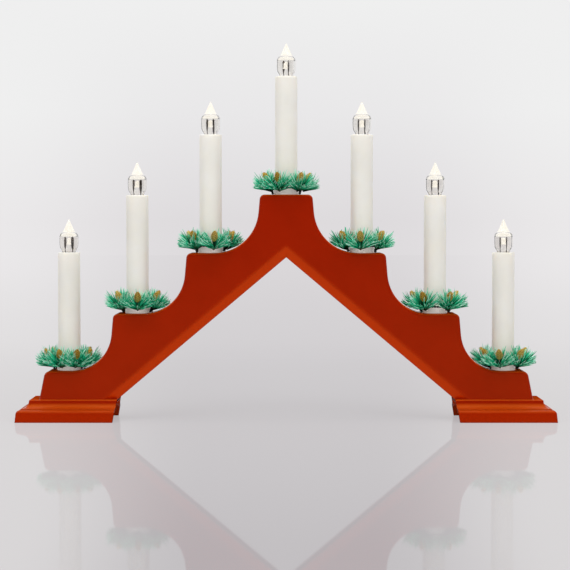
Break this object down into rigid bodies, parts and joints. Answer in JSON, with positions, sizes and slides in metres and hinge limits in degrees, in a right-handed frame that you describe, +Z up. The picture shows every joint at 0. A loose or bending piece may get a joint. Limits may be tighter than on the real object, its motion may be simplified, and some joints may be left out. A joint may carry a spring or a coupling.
{
  "type": "candle arch",
  "caption": "Electric candle arch: stepped hollow moulding on two plinth feet, with candle sleeves, screw-in flame lamps and loose pine rings.",
  "frame": {"origin": "on the floor, under the middle of the arch", "axes": "+Z up, +X to the right along the arch, +Y to the rear; the front faces -Y"},
  "size_m": [0.4, 0.05, 0.2806],
  "materials": {
    "red_plastic": "glossy moulded red-orange plastic",
    "white_plastic": "white moulded plastic",
    "candle_plastic": "satin candle-white plastic",
    "wire_jacket": "thin PVC wire insulation",
    "black_rubber": "matt black rubber",
    "solder": "dull solder",
    "lamp_metal": "nickel-plated screw cap",
    "clear_plastic": "clear moulded plastic",
    "black_wire": "dark green-black coated wire",
    "pine_plastic": "stiff green plastic needles",
    "cone_plastic": "golden moulded plastic"
  },
  "bodies": {
    "arch": {"arch_body": "red_plastic", "lamp_sockets": "white_plastic", "wiring": "wire_jacket", "cable_gland": "black_rubber", "candle_cup_1": "white_plastic", "candle_cup_2": "white_plastic", "candle_cup_3": "white_plastic", "candle_cup_4": "white_plastic", "candle_cup_5": "white_plastic", "candle_cup_6": "white_plastic", "candle_cup_7": "white_plastic", "candle_sleeve_1": "candle_plastic", "candle_sleeve_2": "candle_plastic", "candle_sleeve_3": "candle_plastic", "candle_sleeve_4": "candle_plastic", "candle_sleeve_5": "candle_plastic", "candle_sleeve_6": "candle_plastic", "candle_sleeve_7": "candle_plastic"},
    "lamp_tip_1": {"lamp_contact_1": "solder"},
    "lamp_1": {"lamp_base_1": "lamp_metal", "lamp_envelope_1": "clear_plastic"},
    "wreath_1": {"wreath_frame_1": "black_wire", "pine_tufts_1": "pine_plastic", "cones_1": "cone_plastic"},
    "lamp_tip_2": {"lamp_contact_2": "solder"},
    "lamp_2": {"lamp_base_2": "lamp_metal", "lamp_envelope_2": "clear_plastic"},
    "wreath_2": {"wreath_frame_2": "black_wire", "pine_tufts_2": "pine_plastic", "cones_2": "cone_plastic"},
    "lamp_tip_3": {"lamp_contact_3": "solder"},
    "lamp_3": {"lamp_base_3": "lamp_metal", "lamp_envelope_3": "clear_plastic"},
    "wreath_3": {"wreath_frame_3": "black_wire", "pine_tufts_3": "pine_plastic", "cones_3": "cone_plastic"},
    "lamp_tip_4": {"lamp_contact_4": "solder"},
    "lamp_4": {"lamp_base_4": "lamp_metal", "lamp_envelope_4": "clear_plastic"},
    "wreath_4": {"wreath_frame_4": "black_wire", "pine_tufts_4": "pine_plastic", "cones_4": "cone_plastic"},
    "lamp_tip_5": {"lamp_contact_5": "solder"},
    "lamp_5": {"lamp_base_5": "lamp_metal", "lamp_envelope_5": "clear_plastic"},
    "wreath_5": {"wreath_frame_5": "black_wire", "pine_tufts_5": "pine_plastic", "cones_5": "cone_plastic"},
    "lamp_tip_6": {"lamp_contact_6": "solder"},
    "lamp_6": {"lamp_base_6": "lamp_metal", "lamp_envelope_6": "clear_plastic"},
    "wreath_6": {"wreath_frame_6": "black_wire", "pine_tufts_6": "pine_plastic", "cones_6": "cone_plastic"},
    "lamp_tip_7": {"lamp_contact_7": "solder"},
    "lamp_7": {"lamp_base_7": "lamp_metal", "lamp_envelope_7": "clear_plastic"},
    "wreath_7": {"wreath_frame_7": "black_wire", "pine_tufts_7": "pine_plastic", "cones_7": "cone_plastic"}
  },
  "joints": [
    {"name": "lamp_rise_1", "type": "slide", "parent": "arch", "child": "lamp_tip_1", "axis": [0, 0, 1], "range_m": [0, 0.00725]},
    {"name": "lamp_turn_1", "type": "hinge", "parent": "lamp_tip_1", "child": "lamp_1", "pos_m": [-0.1624, 0, 0], "axis": [0, 0, 1], "range_deg": [0, 1440]},
    {"name": "wreath_lift_1", "type": "slide", "parent": "arch", "child": "wreath_1", "axis": [0, 0, 1], "range_m": [0, 0.125]},
    {"name": "lamp_rise_2", "type": "slide", "parent": "arch", "child": "lamp_tip_2", "axis": [0, 0, 1], "range_m": [0, 0.00725]},
    {"name": "lamp_turn_2", "type": "hinge", "parent": "lamp_tip_2", "child": "lamp_2", "pos_m": [-0.1112, 0, 0], "axis": [0, 0, 1], "range_deg": [0, 1440]},
    {"name": "wreath_lift_2", "type": "slide", "parent": "arch", "child": "wreath_2", "axis": [0, 0, 1], "range_m": [0, 0.125]},
    {"name": "lamp_rise_3", "type": "slide", "parent": "arch", "child": "lamp_tip_3", "axis": [0, 0, 1], "range_m": [0, 0.00725]},
    {"name": "lamp_turn_3", "type": "hinge", "parent": "lamp_tip_3", "child": "lamp_3", "pos_m": [-0.0564, 0, 0], "axis": [0, 0, 1], "range_deg": [0, 1440]},
    {"name": "wreath_lift_3", "type": "slide", "parent": "arch", "child": "wreath_3", "axis": [0, 0, 1], "range_m": [0, 0.125]},
    {"name": "lamp_rise_4", "type": "slide", "parent": "arch", "child": "lamp_tip_4", "axis": [0, 0, 1], "range_m": [0, 0.00725]},
    {"name": "lamp_turn_4", "type": "hinge", "parent": "lamp_tip_4", "child": "lamp_4", "pos_m": [0, 0, 0], "axis": [0, 0, 1], "range_deg": [0, 1440]},
    {"name": "wreath_lift_4", "type": "slide", "parent": "arch", "child": "wreath_4", "axis": [0, 0, 1], "range_m": [0, 0.125]},
    {"name": "lamp_rise_5", "type": "slide", "parent": "arch", "child": "lamp_tip_5", "axis": [0, 0, 1], "range_m": [0, 0.00725]},
    {"name": "lamp_turn_5", "type": "hinge", "parent": "lamp_tip_5", "child": "lamp_5", "pos_m": [0.0564, 0, 0], "axis": [0, 0, 1], "range_deg": [0, 1440]},
    {"name": "wreath_lift_5", "type": "slide", "parent": "arch", "child": "wreath_5", "axis": [0, 0, 1], "range_m": [0, 0.125]},
    {"name": "lamp_rise_6", "type": "slide", "parent": "arch", "child": "lamp_tip_6", "axis": [0, 0, 1], "range_m": [0, 0.00725]},
    {"name": "lamp_turn_6", "type": "hinge", "parent": "lamp_tip_6", "child": "lamp_6", "pos_m": [0.1112, 0, 0], "axis": [0, 0, 1], "range_deg": [0, 1440]},
    {"name": "wreath_lift_6", "type": "slide", "parent": "arch", "child": "wreath_6", "axis": [0, 0, 1], "range_m": [0, 0.125]},
    {"name": "lamp_rise_7", "type": "slide", "parent": "arch", "child": "lamp_tip_7", "axis": [0, 0, 1], "range_m": [0, 0.00725]},
    {"name": "lamp_turn_7", "type": "hinge", "parent": "lamp_tip_7", "child": "lamp_7", "pos_m": [0.1624, 0, 0], "axis": [0, 0, 1], "range_deg": [0, 1440]},
    {"name": "wreath_lift_7", "type": "slide", "parent": "arch", "child": "wreath_7", "axis": [0, 0, 1], "range_m": [0, 0.125]}
  ],
  "couplings": [
    {"joint": "lamp_rise_1", "follows": "lamp_turn_1", "m_per_rad": 0.00028807},
    {"joint": "lamp_rise_2", "follows": "lamp_turn_2", "m_per_rad": 0.00028807},
    {"joint": "lamp_rise_3", "follows": "lamp_turn_3", "m_per_rad": 0.00028807},
    {"joint": "lamp_rise_4", "follows": "lamp_turn_4", "m_per_rad": 0.00028807},
    {"joint": "lamp_rise_5", "follows": "lamp_turn_5", "m_per_rad": 0.00028807},
    {"joint": "lamp_rise_6", "follows": "lamp_turn_6", "m_per_rad": 0.00028807},
    {"joint": "lamp_rise_7", "follows": "lamp_turn_7", "m_per_rad": 0.00028807}
  ]
}
